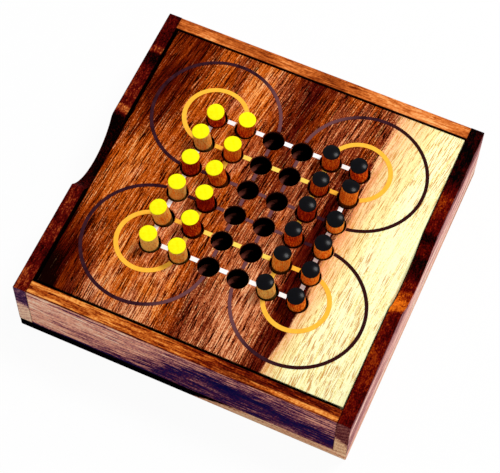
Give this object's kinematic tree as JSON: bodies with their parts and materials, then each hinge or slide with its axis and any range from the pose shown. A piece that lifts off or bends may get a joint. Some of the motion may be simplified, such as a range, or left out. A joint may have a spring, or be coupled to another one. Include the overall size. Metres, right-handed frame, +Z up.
{
  "type": "peg board game",
  "caption": "Square wooden peg game: a storage box whose lift-out board has a grid of blind holes, painted tracks with corner loops and loose dowel pegs in two colours.",
  "frame": {"origin": "middle of the underside of the base panel", "axes": "+X to the right, +Y to the back, +Z up"},
  "size_m": [0.15, 0.15, 0.0442],
  "materials": {
    "base_wood": "oiled wood, pinkish beige to dark brown",
    "left_wood": "oiled wood, dark red-brown",
    "right_wood": "oiled wood, dark red-brown with an orange patch",
    "front_wood": "oiled wood, orange-brown above, pinkish to purple-brown on the face",
    "back_wood": "oiled wood, orange-brown",
    "ledge_wood": "sanded wood, light brown",
    "board_wood": "oiled wood, brown heartwood with a pale sapwood side",
    "white_paint": "printed white paint",
    "gold_paint": "printed gold-yellow paint",
    "dark_paint": "printed purple-brown paint",
    "yellow_peg": "hardwood dowel with a bright yellow painted top",
    "black_peg": "hardwood dowel with a glossy black painted top"
  },
  "bodies": {
    "box": {"base_panel": "base_wood", "left_wall": "left_wood", "right_wall": "right_wood", "front_wall": "front_wood", "back_wall": "back_wood", "front_ledge": "ledge_wood", "back_ledge": "ledge_wood"},
    "board": {"game_board": "board_wood", "white_tracks": "white_paint", "gold_tracks": "gold_paint", "dark_tracks": "dark_paint"},
    "yellow_peg_1": {"yellow_peg_1": "yellow_peg"},
    "yellow_peg_2": {"yellow_peg_2": "yellow_peg"},
    "yellow_peg_3": {"yellow_peg_3": "yellow_peg"},
    "yellow_peg_4": {"yellow_peg_4": "yellow_peg"},
    "yellow_peg_5": {"yellow_peg_5": "yellow_peg"},
    "yellow_peg_6": {"yellow_peg_6": "yellow_peg"},
    "yellow_peg_7": {"yellow_peg_7": "yellow_peg"},
    "yellow_peg_8": {"yellow_peg_8": "yellow_peg"},
    "yellow_peg_9": {"yellow_peg_9": "yellow_peg"},
    "yellow_peg_10": {"yellow_peg_10": "yellow_peg"},
    "yellow_peg_11": {"yellow_peg_11": "yellow_peg"},
    "yellow_peg_12": {"yellow_peg_12": "yellow_peg"},
    "black_peg_1": {"black_peg_1": "black_peg"},
    "black_peg_2": {"black_peg_2": "black_peg"},
    "black_peg_3": {"black_peg_3": "black_peg"},
    "black_peg_4": {"black_peg_4": "black_peg"},
    "black_peg_5": {"black_peg_5": "black_peg"},
    "black_peg_6": {"black_peg_6": "black_peg"},
    "black_peg_7": {"black_peg_7": "black_peg"},
    "black_peg_8": {"black_peg_8": "black_peg"},
    "black_peg_9": {"black_peg_9": "black_peg"},
    "black_peg_10": {"black_peg_10": "black_peg"},
    "black_peg_11": {"black_peg_11": "black_peg"},
    "black_peg_12": {"black_peg_12": "black_peg"}
  },
  "joints": [
    {"name": "board_lift", "type": "slide", "parent": "box", "child": "board", "axis": [0, 0, 1], "range_m": [0, 0.05]},
    {"name": "yellow_peg_1_lift", "type": "slide", "parent": "board", "child": "yellow_peg_1", "axis": [0, 0, 1], "range_m": [0, 0.02]},
    {"name": "yellow_peg_2_lift", "type": "slide", "parent": "board", "child": "yellow_peg_2", "axis": [0, 0, 1], "range_m": [0, 0.02]},
    {"name": "yellow_peg_3_lift", "type": "slide", "parent": "board", "child": "yellow_peg_3", "axis": [0, 0, 1], "range_m": [0, 0.02]},
    {"name": "yellow_peg_4_lift", "type": "slide", "parent": "board", "child": "yellow_peg_4", "axis": [0, 0, 1], "range_m": [0, 0.02]},
    {"name": "yellow_peg_5_lift", "type": "slide", "parent": "board", "child": "yellow_peg_5", "axis": [0, 0, 1], "range_m": [0, 0.02]},
    {"name": "yellow_peg_6_lift", "type": "slide", "parent": "board", "child": "yellow_peg_6", "axis": [0, 0, 1], "range_m": [0, 0.02]},
    {"name": "yellow_peg_7_lift", "type": "slide", "parent": "board", "child": "yellow_peg_7", "axis": [0, 0, 1], "range_m": [0, 0.02]},
    {"name": "yellow_peg_8_lift", "type": "slide", "parent": "board", "child": "yellow_peg_8", "axis": [0, 0, 1], "range_m": [0, 0.02]},
    {"name": "yellow_peg_9_lift", "type": "slide", "parent": "board", "child": "yellow_peg_9", "axis": [0, 0, 1], "range_m": [0, 0.02]},
    {"name": "yellow_peg_10_lift", "type": "slide", "parent": "board", "child": "yellow_peg_10", "axis": [0, 0, 1], "range_m": [0, 0.02]},
    {"name": "yellow_peg_11_lift", "type": "slide", "parent": "board", "child": "yellow_peg_11", "axis": [0, 0, 1], "range_m": [0, 0.02]},
    {"name": "yellow_peg_12_lift", "type": "slide", "parent": "board", "child": "yellow_peg_12", "axis": [0, 0, 1], "range_m": [0, 0.02]},
    {"name": "black_peg_1_lift", "type": "slide", "parent": "board", "child": "black_peg_1", "axis": [0, 0, 1], "range_m": [0, 0.02]},
    {"name": "black_peg_2_lift", "type": "slide", "parent": "board", "child": "black_peg_2", "axis": [0, 0, 1], "range_m": [0, 0.02]},
    {"name": "black_peg_3_lift", "type": "slide", "parent": "board", "child": "black_peg_3", "axis": [0, 0, 1], "range_m": [0, 0.02]},
    {"name": "black_peg_4_lift", "type": "slide", "parent": "board", "child": "black_peg_4", "axis": [0, 0, 1], "range_m": [0, 0.02]},
    {"name": "black_peg_5_lift", "type": "slide", "parent": "board", "child": "black_peg_5", "axis": [0, 0, 1], "range_m": [0, 0.02]},
    {"name": "black_peg_6_lift", "type": "slide", "parent": "board", "child": "black_peg_6", "axis": [0, 0, 1], "range_m": [0, 0.02]},
    {"name": "black_peg_7_lift", "type": "slide", "parent": "board", "child": "black_peg_7", "axis": [0, 0, 1], "range_m": [0, 0.02]},
    {"name": "black_peg_8_lift", "type": "slide", "parent": "board", "child": "black_peg_8", "axis": [0, 0, 1], "range_m": [0, 0.02]},
    {"name": "black_peg_9_lift", "type": "slide", "parent": "board", "child": "black_peg_9", "axis": [0, 0, 1], "range_m": [0, 0.02]},
    {"name": "black_peg_10_lift", "type": "slide", "parent": "board", "child": "black_peg_10", "axis": [0, 0, 1], "range_m": [0, 0.02]},
    {"name": "black_peg_11_lift", "type": "slide", "parent": "board", "child": "black_peg_11", "axis": [0, 0, 1], "range_m": [0, 0.02]},
    {"name": "black_peg_12_lift", "type": "slide", "parent": "board", "child": "black_peg_12", "axis": [0, 0, 1], "range_m": [0, 0.02]}
  ]
}
